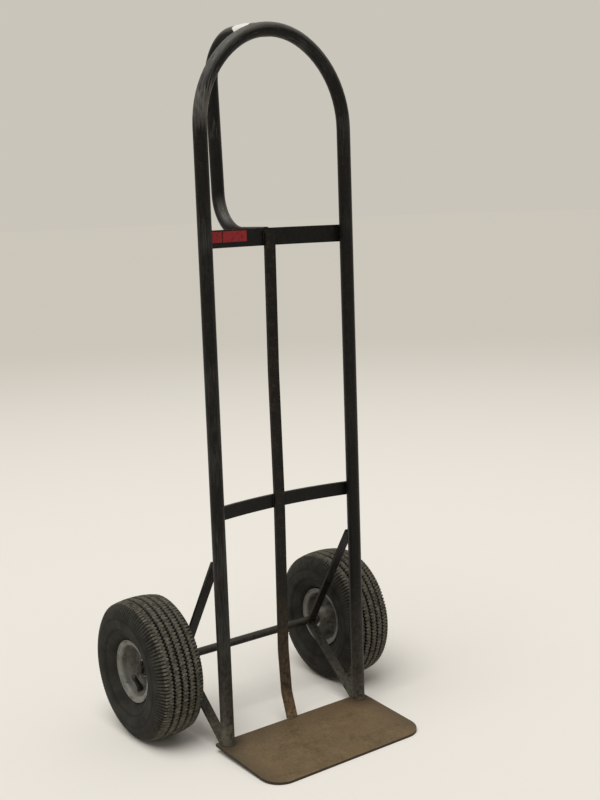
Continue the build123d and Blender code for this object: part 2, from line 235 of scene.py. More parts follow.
def worn_enamel(
    name, streak, rubbed, rusted, top_highlight, top_highlight_from=0.0, white=None, arched=False, dirt="#5b564a"
):
    """Black brushing enamel on mild steel tube and flat bar: near black and dull, rubbed grey in streaks
    that run with the piece, most of all where hands hold the arch, with a painted highlight of the overhead
    light in the same grey, broken by the streaks, where the surface faces up, brown rust coming through in
    spots, and a film of brown-grey dirt that thickens towards the floor.
    streak is the number of noise cells in a metre along X, Y and Z; rubbed and rusted are shares from 0 to
    1, and so is the next argument, the painted highlight on upward faces, partly also wear on top; the one
    after it is the height where that highlight starts; white is the span along Y of a near-white patch;
    arched streaks follow the arch, and its left side is rubbed lighter, partly by scuffs and partly as
    painted light from the lamp's side; dirt is the film's colour."""
    material, tree, shader = new_material(name)
    place = add(tree, "TexCoord").outputs["Object"]
    axes = add(tree, "SeparateXYZ", {0: place})
    facing = add(tree, "SeparateXYZ", {0: add(tree, "NewGeometry").outputs["Normal"]})
    route = along_arch(tree, axes) if arched else place
    drawn = add(tree, "Mapping", {"Vector": route, "Scale": streak})
    # Rubbed streaks, about 2 mm across and 40 mm long
    fine = {"Vector": drawn.outputs[0], "Scale": 1.0, "Detail": 4.0, "Roughness": 0.62}
    streaks = add(tree, "TexNoise", fine)
    # Areas that hands and loads rub, about 100 mm long
    areas = add(tree, "TexNoise", {"Vector": place, "Scale": 10.0, "Detail": 2.0})
    # Dirt and brush marks of about 8 mm
    mottle = add(tree, "TexNoise", {"Vector": place, "Scale": 125.0, "Detail": 5.0, "Roughness": 0.65})
    # Rust spots of about 16 mm, broken up by pits of 4 mm
    spots = add(tree, "TexNoise", {"Vector": place, "Scale": 62.0, "Detail": 3.0, "Roughness": 0.6})
    pits = add(tree, "TexNoise", {"Vector": place, "Scale": 260.0, "Detail": 3.0, "Roughness": 0.65})
    tone = add(tree, "MapRange", {0: mottle.outputs[0], 1: 0.34, 2: 0.68})
    colour = blend(tree, tone.outputs[0], paint("#0a0a09"), paint("#161512"))
    held = add(tree, "MapRange", {0: axes.outputs[2], 1: HELD_FROM, 2: HELD_FROM + 0.1, 3: 0.22, 4: 1.0})
    rub_and_highlight = add(tree, "Math", {0: streaks.outputs[0], 1: areas.outputs[0]}, operation="ADD")
    reach = {1: 1.22 - 0.26 * rubbed, 2: 1.5 - 0.2 * rubbed}
    rub_and_highlight = add(tree, "MapRange", {0: rub_and_highlight.outputs[0], **reach, 4: 0.85})
    rub_and_highlight = add(tree, "Math", {0: rub_and_highlight.outputs[0], 1: held.outputs[0]}, operation="MULTIPLY")
    if arched:
        # Painted light and scuffs: the arch's left side, on the lamp's side, is made lighter, partly by
        # real scuffs and partly as painted light
        left = add(tree, "MapRange", {0: axes.outputs[0], 1: 0.1, 2: -0.02, 3: 0.35, 4: 1.0})
        rub_and_highlight = add(tree, "Math", {0: rub_and_highlight.outputs[0], 1: left.outputs[0]}, operation="MULTIPLY")
    # Painted highlight: faces that look up take the rubbed grey, as the overhead light would light them,
    # broken by the streaks and only above a given height; partly this is also wear on the tops
    painted_top_highlight = add(tree, "MapRange", {0: facing.outputs[2], 1: 0.05, 2: 0.7, 4: top_highlight})
    highlight_streaks = add(tree, "MapRange", {0: streaks.outputs[0], 1: 0.32, 2: 0.62, 3: 0.35, 4: 1.0})
    painted_top_highlight = add(tree, "Math", {0: painted_top_highlight.outputs[0], 1: highlight_streaks.outputs[0]}, operation="MULTIPLY")
    above = add(tree, "MapRange", {0: axes.outputs[2], 1: top_highlight_from, 2: top_highlight_from + 0.02})
    painted_top_highlight = add(tree, "Math", {0: painted_top_highlight.outputs[0], 1: above.outputs[0]}, operation="MULTIPLY")
    rub_and_highlight = add(tree, "Math", {0: rub_and_highlight.outputs[0], 1: painted_top_highlight.outputs[0]}, operation="MAXIMUM")
    # The rubbed grey stands both for worn paint and, on upward faces, for the painted highlight
    colour = blend(tree, rub_and_highlight.outputs[0], colour, paint("#72706a"))
    rust = add(tree, "Math", {0: spots.outputs[0], 1: pits.outputs[0]}, operation="ADD")
    reach = {1: 1.24 - 0.3 * rusted, 2: 1.5 - 0.3 * rusted}
    rust = add(tree, "MapRange", {0: rust.outputs[0], **reach, 4: 0.8})
    brown = blend(tree, pits.outputs[0], paint("#1d150d"), paint("#463322"))
    colour = blend(tree, rust.outputs[0], colour, brown)
    # Dirt from about 270 mm down, and splashes on the lowest 70 mm
    low = add(tree, "MapRange", {0: axes.outputs[2], 1: 0.27, 2: 0.0, 4: 0.55})
    splash = add(tree, "MapRange", {0: axes.outputs[2], 1: 0.075, 2: 0.02, 4: 0.55})
    if arched:
        # The left rail's foot has caught more of them
        caught = add(tree, "MapRange", {0: axes.outputs[0], 1: 0.1, 2: -0.1, 3: 1.0, 4: 1.9})
        splash = add(tree, "Math", {0: splash.outputs[0], 1: caught.outputs[0]}, operation="MULTIPLY")
    low = add(tree, "Math", {0: low.outputs[0], 1: splash.outputs[0]}, operation="ADD")
    film = add(tree, "MapRange", {0: mottle.outputs[0], 1: 0.36, 2: 0.6, 3: 0.25, 4: 1.0})
    film = add(tree, "Math", {0: film.outputs[0], 1: low.outputs[0]}, operation="MULTIPLY")
    colour = blend(tree, film.outputs[0], colour, paint(dirt))
    # Single bright chips of 2 mm where the paint is rubbed, and also where the painted highlight lies
    chips = add(tree, "MapRange", {0: pits.outputs[0], 1: 0.66, 2: 0.72, 4: 0.7})
    chips = add(tree, "Math", {0: chips.outputs[0], 1: rub_and_highlight.outputs[0]}, operation="MULTIPLY")
    colour = blend(tree, chips.outputs[0], colour, paint("#b5b3a9"))
    if white is not None:
        # A near-white patch on the upper half of the tube, with a ragged edge
        start = add(tree, "MapRange", {0: axes.outputs[1], 1: white[0], 2: white[0] + 0.02})
        end = add(tree, "MapRange", {0: axes.outputs[1], 1: white[1], 2: white[1] - 0.02})
        above = add(tree, "MapRange", {0: axes.outputs[2], 1: loop_high.z - 0.018, 2: loop_high.z - 0.008})
        patch = add(tree, "Math", {0: start.outputs[0], 1: end.outputs[0]}, operation="MULTIPLY")
        patch = add(tree, "Math", {0: patch.outputs[0], 1: above.outputs[0]}, operation="MULTIPLY")
        patch = add(tree, "Math", {0: patch.outputs[0], 1: spots.outputs[0]}, operation="ADD")
        patch = add(tree, "MapRange", {0: patch.outputs[0], 1: 0.84, 2: 0.92})
        colour = blend(tree, patch.outputs[0], colour, paint("#efeee9"))
    rough = add(tree, "MapRange", {0: mottle.outputs[0], 1: 0.3, 2: 0.7, 3: 0.34, 4: 0.48})
    rough = add(tree, "Math", {0: rust.outputs[0], 1: 0.3, 2: rough.outputs[0]}, operation="MULTIPLY_ADD")
    rough = add(tree, "Math", {0: film.outputs[0], 1: 0.3, 2: rough.outputs[0]}, operation="MULTIPLY_ADD")
    height = add(tree, "Math", {0: rust.outputs[0], 1: pits.outputs[0]}, operation="MULTIPLY")
    uneven = {0: mottle.outputs[0], 1: 0.5, 2: height.outputs[0]}
    height = add(tree, "Math", uneven, operation="MULTIPLY_ADD")
    bump = add(tree, "Bump", {"Height": height.outputs[0], "Strength": 0.4, "Distance": 0.0007})
    tree.links.new(colour, shader.inputs["Base Color"])
    tree.links.new(rough.outputs[0], shader.inputs["Roughness"])
    tree.links.new(bump.outputs[0], shader.inputs["Normal"])
    shader.inputs["Specular IOR Level"].default_value = 0.16
    return material


def rusted_plate():
    """Hot-rolled mild steel plate, its paint long gone: an even brown oxide film polished by loads, a
    little lighter and darker in clouds, darker along the welds at the heel, with small dark pits, and
    painted shade on the cut edges and underside."""
    material, tree, shader = new_material("rusted_rolled_steel")
    place = add(tree, "TexCoord").outputs["Object"]
    axes = add(tree, "SeparateXYZ", {0: place})
    # Clouds of about 60 mm, patches of 20 mm, grain of 5 mm and pits of 3 mm
    clouds = add(tree, "TexNoise", {"Vector": place, "Scale": 17.0, "Detail": 5.0, "Roughness": 0.6})
    patches = add(tree, "TexNoise", {"Vector": place, "Scale": 50.0, "Detail": 5.0, "Roughness": 0.62})
    grain = add(tree, "TexNoise", {"Vector": place, "Scale": 200.0, "Detail": 4.0, "Roughness": 0.7})
    pits = add(tree, "TexVoronoi", {"Vector": place, "Scale": 90.0, "Randomness": 1.0})
    tone = add(tree, "Math", {0: clouds.outputs[0], 1: patches.outputs[0]}, operation="ADD")
    tone = add(tree, "Math", {0: grain.outputs[0], 1: 0.9, 2: tone.outputs[0]}, operation="MULTIPLY_ADD")
    tone = add(tree, "MapRange", {0: tone.outputs[0], 1: 1.05, 2: 1.85})
    colour = blend(tree, tone.outputs[0], paint("#56462f"), paint("#7b694c"))
    red = add(tree, "MapRange", {0: clouds.outputs[0], 1: 0.45, 2: 0.68, 4: 0.5})
    colour = blend(tree, red.outputs[0], colour, paint("#6a513a"))
    # Pale and dark specks of 1 to 2 mm
    speck = add(tree, "TexNoise", {"Vector": place, "Scale": 520.0, "Detail": 2.0, "Roughness": 0.6})
    pale = add(tree, "MapRange", {0: speck.outputs[0], 1: 0.6, 2: 0.7, 4: 0.45})
    colour = blend(tree, pale.outputs[0], colour, paint("#95836a"))
    dark = add(tree, "MapRange", {0: speck.outputs[0], 1: 0.4, 2: 0.3, 4: 0.5})
    colour = blend(tree, dark.outputs[0], colour, paint("#3a2c1d"))
    heel = add(tree, "MapRange", {0: axes.outputs[1], 1: RAIL_Y - 0.055, 2: RAIL_Y + 0.012, 4: 0.55})
    heel = add(tree, "Math", {0: heel.outputs[0], 1: patches.outputs[0]}, operation="MULTIPLY")
    colour = blend(tree, heel.outputs[0], colour, paint("#33281b"))
    # Dark rust in a ring of about 30 mm round each rail's foot, and a greyer border along the plate's ends
    out = add(tree, "Math", {0: axes.outputs[0]}, operation="ABSOLUTE")
    beside = add(tree, "Math", {0: out.outputs[0], 1: RAIL_X}, operation="SUBTRACT")
    behind = add(tree, "Math", {0: axes.outputs[1], 1: RAIL_Y}, operation="SUBTRACT")
    spoke = add(tree, "CombineXYZ", {0: beside.outputs[0], 1: behind.outputs[0]})
    reach = add(tree, "VectorMath", {0: spoke.outputs[0]}, operation="LENGTH")
    stain = add(tree, "MapRange", {0: reach.outputs["Value"], 1: 0.042, 2: 0.013, 4: 1.3})
    stain = add(tree, "Math", {0: stain.outputs[0], 1: patches.outputs[0]}, operation="MULTIPLY")
    colour = blend(tree, stain.outputs[0], colour, paint("#2a2117"))
    border = add(tree, "MapRange", {0: out.outputs[0], 1: PLATE_HALF - 0.04, 2: PLATE_HALF, 4: 1.0})
    border = add(tree, "Math", {0: border.outputs[0], 1: patches.outputs[0]}, operation="MULTIPLY")
    colour = blend(tree, border.outputs[0], colour, paint("#453d31"))
    pit = add(tree, "MapRange", {0: pits.outputs["Distance"], 1: 0.16, 2: 0.06, 4: 0.55})
    thin = add(tree, "MapRange", {0: patches.outputs[0], 1: 0.5, 2: 0.62})
    pit = add(tree, "Math", {0: pit.outputs[0], 1: thin.outputs[0]}, operation="MULTIPLY")
    colour = blend(tree, pit.outputs[0], colour, paint("#33281b"))
    # Painted shade: the cut edges and the underside, which face away from the light, are darkened
    facing = add(tree, "SeparateXYZ", {0: add(tree, "NewGeometry").outputs["Normal"]})
    edge = add(tree, "MapRange", {0: facing.outputs[2], 1: 0.8, 2: 0.3, 4: 0.85})
    colour = blend(tree, edge.outputs[0], colour, paint("#251c13"))
    rough = add(tree, "MapRange", {0: patches.outputs[0], 1: 0.3, 2: 0.7, 3: 0.55, 4: 0.75})
    bump = add(tree, "Bump", {"Height": grain.outputs[0], "Strength": 0.3, "Distance": 0.0006})
    tree.links.new(colour, shader.inputs["Base Color"])
    tree.links.new(rough.outputs[0], shader.inputs["Roughness"])
    tree.links.new(bump.outputs[0], shader.inputs["Normal"])
    shader.inputs["Specular IOR Level"].default_value = 0.3
    return material


def dusty_rubber():
    """Carbon-black tyre rubber, moulded: charcoal and matt, with brown-grey dust on the tops of the tread
    ribs and the shoulder lugs, painted shade that makes the grooves, shoulder slots, nicks and sunk
    sidewall rings near black, and a greyer bloom in clouds on the sidewalls."""
    material, tree, shader = new_material("dusty_tyre_rubber")
    place = add(tree, "TexCoord").outputs["Object"]
    top = add(tree, "Attribute", attribute_name="tread_top")
    groove_shade = add(tree, "Attribute", attribute_name="groove")
    # Bloom in clouds of about 40 mm, dust in specks of 7 mm, moulded grain of 1 mm
    bloom = add(tree, "TexNoise", {"Vector": place, "Scale": 25.0, "Detail": 5.0, "Roughness": 0.62})
    dust = add(tree, "TexNoise", {"Vector": place, "Scale": 140.0, "Detail": 4.0, "Roughness": 0.7})
    grain = add(tree, "TexNoise", {"Vector": place, "Scale": 900.0, "Detail": 2.0})
    tone = add(tree, "MapRange", {0: bloom.outputs[0], 1: 0.35, 2: 0.68})
    colour = blend(tree, tone.outputs[0], paint("#1c1c19"), paint("#34332d"))
    amount = add(tree, "MapRange", {0: dust.outputs[0], 1: 0.34, 2: 0.66, 3: 0.05, 4: 1.0})
    amount = add(tree, "Math", {0: amount.outputs[0], 1: top.outputs["Fac"]}, operation="MULTIPLY")
    colour = blend(tree, amount.outputs[0], colour, paint("#706b5e"))
    # Painted shade: the grooves, shoulder slots, nicks and sunk rings are turned near black
    colour = blend(tree, groove_shade.outputs["Fac"], colour, paint("#0b0b0a"))
    bump = add(tree, "Bump", {"Height": grain.outputs[0], "Strength": 0.15, "Distance": 0.0004})
    tree.links.new(colour, shader.inputs["Base Color"])
    tree.links.new(bump.outputs[0], shader.inputs["Normal"])
    shader.inputs["Roughness"].default_value = 0.7
    shader.inputs["Specular IOR Level"].default_value = 0.12
    return material


def grey_rim_paint():
    """Pressed steel sprayed with a thin grey: satin, dirty in the dish and stained with rust."""
    material, tree, shader = new_material("grey_sprayed_steel")
    place = add(tree, "TexCoord").outputs["Object"]
    depth = add(tree, "Attribute", attribute_name="dish")
    # Dirt in clouds of 25 mm, rust stains of 14 mm, grit of 2 mm
    dirt = add(tree, "TexNoise", {"Vector": place, "Scale": 40.0, "Detail": 5.0, "Roughness": 0.65})
    stain = add(tree, "TexNoise", {"Vector": place, "Scale": 70.0, "Detail": 5.0, "Roughness": 0.68})
    grit = add(tree, "TexNoise", {"Vector": place, "Scale": 450.0, "Detail": 3.0, "Roughness": 0.7})
    tone = add(tree, "MapRange", {0: dirt.outputs[0], 1: 0.35, 2: 0.65})
    colour = blend(tree, tone.outputs[0], paint("#62625b"), paint("#828279"))
    grime = add(tree, "MapRange", {0: stain.outputs[0], 1: 0.3, 2: 0.6, 3: 0.35, 4: 0.9})
    grime = add(tree, "Math", {0: depth.outputs["Fac"], 1: grime.outputs[0]}, operation="MULTIPLY")
    colour = blend(tree, grime.outputs[0], colour, paint("#545148"))
    rust = add(tree, "MapRange", {0: stain.outputs[0], 1: 0.56, 2: 0.68, 4: 0.85})
    colour = blend(tree, rust.outputs[0], colour, paint("#453322"))
    rough = add(tree, "Mix", {0: rust.outputs[0], 2: 0.5, 3: 0.85})
    bump = add(tree, "Bump", {"Height": grit.outputs[0], "Strength": 0.12, "Distance": 0.0004})
    tree.links.new(colour, shader.inputs["Base Color"])
    tree.links.new(rough.outputs[0], shader.inputs["Roughness"])
    tree.links.new(bump.outputs[0], shader.inputs["Normal"])
    shader.inputs["Specular IOR Level"].default_value = 0.4
    return material


def greasy_hub():
    """Turned steel tube under the rim's grey spray: pale and rust-stained on the inner barrel, black with
    old grease at the outer end, which starts where the wheel's middle plane is."""
    material, tree, shader = new_material("greasy_grey_steel")
    place = add(tree, "TexCoord").outputs["Object"]
    axes = add(tree, "SeparateXYZ", {0: place})
    # Dirt in clouds of 30 mm and rust stains of 12 mm
    dirt = add(tree, "TexNoise", {"Vector": place, "Scale": 33.0, "Detail": 4.0, "Roughness": 0.6})
    stain = add(tree, "TexNoise", {"Vector": place, "Scale": 85.0, "Detail": 5.0, "Roughness": 0.68})
    tone = add(tree, "MapRange", {0: dirt.outputs[0], 1: 0.35, 2: 0.65})
    colour = blend(tree, tone.outputs[0], paint("#5e5c55"), paint("#86847a"))
    rust = add(tree, "MapRange", {0: stain.outputs[0], 1: 0.54, 2: 0.66, 4: 0.9})
    colour = blend(tree, rust.outputs[0], colour, paint("#4a3624"))
    outward = add(tree, "Math", {0: axes.outputs[0]}, operation="ABSOLUTE")
    grease = add(tree, "MapRange", {0: outward.outputs[0], 1: WHEEL_X, 2: WHEEL_X + 0.006, 4: 0.92})
    colour = blend(tree, grease.outputs[0], colour, paint("#1e1c19"))
    rough = add(tree, "MapRange", {0: stain.outputs[0], 1: 0.35, 2: 0.65, 3: 0.45, 4: 0.75})
    tree.links.new(colour, shader.inputs["Base Color"])
    tree.links.new(rough.outputs[0], shader.inputs["Roughness"])
    shader.inputs["Specular IOR Level"].default_value = 0.4
    return material


def plain_finish(name, dark, light, rough, metal, cell):
    """A plain small-part finish: two close tones in a fine mottle of the given cells a metre."""
    material, tree, shader = new_material(name)
    place = add(tree, "TexCoord").outputs["Object"]
    mottle = add(tree, "TexNoise", {"Vector": place, "Scale": cell, "Detail": 4.0, "Roughness": 0.6})
    colour = blend(tree, mottle.outputs[0], paint(dark), paint(light))
    gloss = add(tree, "MapRange", {0: mottle.outputs[0], 1: 0.3, 2: 0.7, 3: rough - 0.1, 4: rough + 0.1})
    tree.links.new(colour, shader.inputs["Base Color"])
    tree.links.new(gloss.outputs[0], shader.inputs["Roughness"])
    shader.inputs["Metallic"].default_value = metal
    return material


def red_label():
    """Red vinyl film, once glossy, now scratched along the bar and rubbed dark in patches."""
    material, tree, shader = new_material("red_vinyl_film")
    place = add(tree, "TexCoord").outputs["Object"]
    drawn = add(tree, "Mapping", {"Vector": place, "Scale": (90.0, 90.0, 700.0)})
    # Scratches of about 1.5 mm across and 11 mm long, rubbed patches of 6 mm
    scratch = add(tree, "TexNoise", {"Vector": drawn.outputs[0], "Scale": 1.0, "Detail": 4.0})
    wear = add(tree, "TexNoise", {"Vector": place, "Scale": 160.0, "Detail": 4.0, "Roughness": 0.7})
    colour = blend(tree, scratch.outputs[0], paint("#741d20"), paint("#a83236"))
    rubbed = add(tree, "MapRange", {0: wear.outputs[0], 1: 0.54, 2: 0.66, 4: 0.75})
    colour = blend(tree, rubbed.outputs[0], colour, paint("#541a1b"))
    tree.links.new(colour, shader.inputs["Base Color"])
    shader.inputs["Roughness"].default_value = 0.5
    shader.inputs["Specular IOR Level"].default_value = 0.15
    return material


# Finishes

ALONG_Z = (520.0, 520.0, 26.0)
ALONG_X = (26.0, 520.0, 520.0)
ALONG_YZ = (520.0, 40.0, 40.0)
WHITE_PATCH = (RAIL_Y + 0.05, RAIL_Y + 0.113)
rail_finish = worn_enamel("worn_black_enamel_rails", ALONG_Z, 0.8, 0.3, 0.9, arched=True)
loop_finish = worn_enamel("worn_black_enamel_loop", ALONG_YZ, 0.25, 0.1, 0.9, upper_high.z, WHITE_PATCH)
bar_finish = worn_enamel("worn_black_enamel_bars", ALONG_X, 0.25, 0.15, 0.25)
strap_finish = worn_enamel("worn_black_enamel_strap", ALONG_Z, 0.25, 0.75, 0.1, dirt="#7e664b")
bracket_finish = worn_enamel("worn_black_enamel_brackets", ALONG_YZ, 0.4, 0.35, 0.12)
axle_finish = worn_enamel("worn_black_enamel_axle", ALONG_X, 0.4, 0.6, 0.3)
weld_finish = worn_enamel("painted_weld_bead", ALONG_Z, 0.3, 0.6, 0.1)
plate_finish = rusted_plate()
tyre_finish = dusty_rubber()
rim_finish = grey_rim_paint()
hub_finish = greasy_hub()
grease_finish = plain_finish("greasy_steel", "#1d1b18", "#3b3731", 0.5, 0.2, 200.0)
spacer_finish = plain_finish("dull_zinc_steel", "#4a4842", "#73716a", 0.5, 0.6, 300.0)
bearing_finish = plain_finish("ground_bearing_steel", "#6f6e68", "#93918a", 0.35, 0.9, 200.0)
rubber_finish = plain_finish("moulded_black_rubber", "#141413", "#232321", 0.62, 0.0, 240.0)
label_finish = red_label()

NODE_FINISH = {
    "main_frame_tube": rail_finish,
    "loop_handle_tube": loop_finish,
    "upper_crossbar": bar_finish,
    "lower_crossbar": bar_finish,
    "centre_strap": strap_finish,
    "toe_plate": plate_finish,
    "axle": axle_finish,
    "left_axle_bracket": bracket_finish,
    "right_axle_bracket": bracket_finish,
    "axle_washers": grease_finish,
    "cotter_pins": grease_finish,
}
ENDING_FINISH = {
    "axle_spacer": spacer_finish,
    "hub": hub_finish,
    "inner_tube": rubber_finish,
    "valve_stem": rubber_finish,
    "valve_cap": rubber_finish,
    "seals": rubber_finish,
    "race": bearing_finish,
    "balls": bearing_finish,
    "cage": bearing_finish,
    "tyre": tyre_finish,
    "half": rim_finish,
}
for node_name, node_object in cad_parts.items():
    ending = [finish for end, finish in ENDING_FINISH.items() if node_name.endswith(end)]
    node_object.data.materials.clear()
    node_object.data.materials.append(NODE_FINISH.get(node_name) or ending[0])


# Tyres, in millimetres about the axle: across from the wheel's middle plane, and radius

TEETH = 120
TOOTH_STEPS = 6
TYRE_R = 136.0
TREAD_HALF = 39.0
TREAD_DROP = 4.5
BELLY = (52.0, 98.1)
BEAD_TOP = (32.98, 61.0)
GROOVES = (22.5, 7.5)
GROOVE_HALF = 2.8
GROOVE_DEPTH = 5.0
ZIGZAG = 2.0
NICK = 1.0
SLOT_DEPTH = 2.4
SLOT_START = 111.0
SLOT_FULL = 124.0
SIDEWALL_RINGS = ((67.0, 1.4, 3.2), (82.0, -1.2, 1.6), (88.0, 1.0, 2.2), (104.0, -1.0, 1.6))


def flank_arc(end, count):
    """Points of the arc that leaves the belly of the tyre upright and ends at a given point, end first."""
    across = BELLY[0] - end[0]
    up = end[1] - BELLY[1]
    radius = (across**2 + up**2) / (2 * across)
    angle = np.linspace(math.asin(up / radius), 0, count)
    return np.stack([BELLY[0] - radius + radius * np.cos(angle), BELLY[1] + radius * np.sin(angle)], -1)


def tread_stations():
    """Half of the tread from its edge to the middle, as rows of the place across and of 1 at the bottom of
    a groove and 0 on a rib; each groove has a sharp edge, a wall and a flat bottom."""
    stations = [(TREAD_HALF, 0.0), (36.5, 0.0), (33.0, 0.0), (29.0, 0.0)]
    wall = 0.5
    for middle in GROOVES:
        stations += [(middle + GROOVE_HALF, 0.0), (middle + GROOVE_HALF - wall, 1.0)]
        stations += [(middle - GROOVE_HALF + wall, 1.0), (middle - GROOVE_HALF, 0.0)]
        stations += [(middle - 5.0, 0.0)]
    stations.insert(9, (15.0, 0.0))
    return np.array(stations + [(0.0, 0.0)])


def tyre_section():
    """The closed section of the tyre as rows of across, radius, share of the zigzag, share of the shoulder
    slots, rib top and groove, which is also the painted shade of the groove bottoms and sunk rings."""
    heel = np.array([(22.98, 50.8), (28.9, 50.8), (31.8, 51.97), (32.98, 54.8)])
    low = flank_arc(BEAD_TOP, 20)[:-1]
    high = flank_arc((TREAD_HALF, TYRE_R - TREAD_DROP), 15)[::-1]
    side = np.concatenate([heel, low, high[:-1]])
    wall = np.zeros((len(side), 6))
    # Raised and sunk rings on the sidewall: a bell of the given height and half width about each radius
    for radius, height, width in SIDEWALL_RINGS:
        ring = np.exp(-(((side[:, 1] - radius) / width) ** 2)) * (np.arange(len(side)) >= len(heel))
        wall[:, 0] += height * ring
        # Painted shade in the sunk rings
        wall[:, 5] += 0.5 * ring * (height < 0)
    wall[:, :2] += side
    wall[:, 3] = np.clip((side[:, 1] - SLOT_START) / (SLOT_FULL - SLOT_START), 0, 1)
    wall[:, 4] = 0.25 * wall[:, 3]
    tread = tread_stations()
    x = tread[:, 0]
    top = np.zeros((len(tread), 6))
    top[:, 0] = x
    top[:, 1] = TYRE_R - TREAD_DROP * (x / TREAD_HALF) ** 2 - GROOVE_DEPTH * tread[:, 1]
    top[:, 2] = np.clip((34.0 - x) / 6.0, 0, 1)
    top[:, 3] = np.clip((x - 30.5) / 4.0, 0, 1)
    top[:, 4] = 1 - tread[:, 1]
    top[:, 5] = tread[:, 1]
    half = np.concatenate([wall, top])
    other = half[-2::-1] * np.array([-1, 1, 1, 1, 1, 1])
    hollow_half = np.array([
        (-22.98, 61.0), (-38.0, 74.0), (-45.5, 92.0), (-44.0, 106.0), (-37.0, 116.0), (-22.0, 122.0),
    ])
    hollow_outline = np.concatenate([hollow_half, [(0.0, 125.0)], hollow_half[::-1] * [-1, 1]])
    hollow = np.zeros((len(hollow_outline), 6))
    hollow[:, :2] = hollow_outline
    return np.concatenate([half, other, hollow])


def tyre(side, sign):
    """The section carried round the axle in teeth of six steps. Ribs swing across in a zigzag of one wave
    a tooth with a nick at each wave, and the slots in the shoulders sink along the section's own normal,
    one a tooth."""
    section = tyre_section()
    steps = TEETH * TOOTH_STEPS
    phase = np.arange(steps) / TOOTH_STEPS % 1.0
    zigzag = ZIGZAG * (4 * np.abs(phase - 0.5) - 1)
    slot = np.interp(phase, [0, 1 / 3, 1 / 2, 2 / 3, 5 / 6, 1], [0, 0, 1, 1, 0, 0])
    nick = (phase == 0)[:, None] * section[None, :, 2] * (1 - section[None, :, 5])
    run = np.roll(section[:, :2], -1, 0) - np.roll(section[:, :2], 1, 0)
    normal = np.stack([run[:, 1], -run[:, 0]], -1)
    normal /= np.linalg.norm(normal, axis=1)[:, None]
    middle = np.array([0.0, BELLY[1]])
    outward = np.where((normal * (section[:, :2] - middle)).sum(1) < 0, -1.0, 1.0)[:, None]
    sink = -SLOT_DEPTH * slot[:, None, None] * section[None, :, 3, None] * (normal * outward)[None]
    across = section[None, :, 0] + zigzag[:, None] * section[None, :, 2] + sink[..., 0]
    radius = section[None, :, 1] + sink[..., 1] - NICK * nick
    turn = 2 * np.pi * np.arange(steps)[:, None] / steps
    points = np.stack([
        sign * (WHEEL_X + across * MM),
        AXLE_Y + radius * MM * np.cos(turn),
        AXLE_Z + radius * MM * np.sin(turn),
    ], -1)
    faces = grid_faces(steps, len(section), True, True)
    if sign < 0:
        faces = faces[:, ::-1]
    in_slot = slot[:, None] * section[None, :, 3]
    # The groove value is painted shade: on the groove bottoms and sunk rings, and in the shoulder slots and
    # nicks
    values = {
        "tread_top": section[None, :, 4] * (1 - in_slot),
        "groove": np.maximum(section[None, :, 5], np.maximum(0.6 * in_slot, 0.6 * nick)),
    }
    piece = make_piece(f"{side}_tyre_treaded", points, faces, tyre_finish, f"{side}_wheel", values)
    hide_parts(f"{side}_tyre")


# Rims, in millimetres like the tyres

RIM_OUTLINE = [
    (2.05, 19.4), (2.05, 42.0), (21.9, 48.78), (35.0, 48.78), (35.0, 57.0), (36.8, 58.4), (36.8, 60.4),
    (33.0, 60.4), (33.0, 50.78), (21.9, 50.78), (0.05, 44.0), (0.05, 19.4),
]
RIM_RADII = [4.0, 6.0, 6.0, 2.0, 1.2, 0.9, 0.9, 4.0, 4.0, 6.0]
RIM_STEPS = 144


def rim_half(side, sign, face):
    """One pressed half: disc, cone, bead seat, flange and rolled lip, an outline with rounded corners
    carried round the axle; face is 1 for the outer half and -1 for the inner one."""
    outline = rounded(RIM_OUTLINE, RIM_RADII, 7)
    across = outline[None, :, 0]
    radius = outline[None, :, 1]
    turn = np.linspace(0, 2 * np.pi, RIM_STEPS, endpoint=False)[:, None]
    points = np.stack([
        np.broadcast_to(sign * (WHEEL_X + face * across * MM), (RIM_STEPS, len(outline))),
        AXLE_Y + radius * MM * np.cos(turn),
        AXLE_Z + radius * MM * np.sin(turn),
    ], -1)
    faces = grid_faces(RIM_STEPS, len(outline), True, True)
    if sign * face < 0:
        faces = faces[:, ::-1]
    place = "outer" if face > 0 else "inner"
    dish = np.clip((33.0 - across) / 20.0, 0, 1) * np.ones((RIM_STEPS, 1))
    if face < 0:
        dish = 0.6 + 0.4 * dish
    name = f"{side}_rim_{place}_pressing"
    piece = make_piece(name, points, faces, rim_finish, f"{side}_wheel", {"dish": dish})
    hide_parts(f"{side}_rim_{place}_half")


for side, sign in (("left", -1), ("right", 1)):
    tyre(side, sign)
    rim_half(side, sign, 1)
    rim_half(side, sign, -1)


# Welds


def plate_height(y):
    """Height of the toe plate's top at a place along Y."""
    return (y - plate_low.y) * math.tan(PLATE_SLOPE) + PLATE_THICK / math.cos(PLATE_SLOPE)


def bar_front(x):
    """Where the front face of a bowed crossbar is along Y: a circle that meets the bar's middle."""
    return BAR_FRONT - BAR_BOW_R + np.sqrt(BAR_BOW_R**2 - x**2)


def weld(name, path, radius, closed=False, finish=weld_finish):
    """One weld bead of the frame along a path of points."""
    points, faces = bead(np.array(path, dtype=float), radius, closed)
    make_piece(name, points, faces, finish, "frame")


def rail_weld(sign, low, high, out, height):
    """Points round the back or the foot of a rail from one angle to another, out from the tube's axis by
    its radius and a little more, at a height that may change along Y."""
    angle = np.radians(np.linspace(low, high, 60))
    x = sign * RAIL_X + (TUBE_R + out) * np.cos(angle)
    y = RAIL_Y + (TUBE_R + out) * np.sin(angle)
    return np.stack([x, y, height(y) + 0 * y], -1)


# Bead radii
PLATE_BEAD = 1.4 * MM
BAR_BEAD = 1.8 * MM
BRACKET_CAP_BEAD = 1.2 * MM
BRACKET_SIDE_BEAD = 1.8 * MM
AXLE_BEAD = 2.0 * MM
STRAP_SIDE_BEAD = 1.5 * MM
STRAP_CAP_BEAD = 1.6 * MM
STRAP_FOOT_BEAD = 2.0 * MM
LOOP_ARCH_BEAD = 1.5 * MM
LOOP_BAR_BEAD = 1.8 * MM

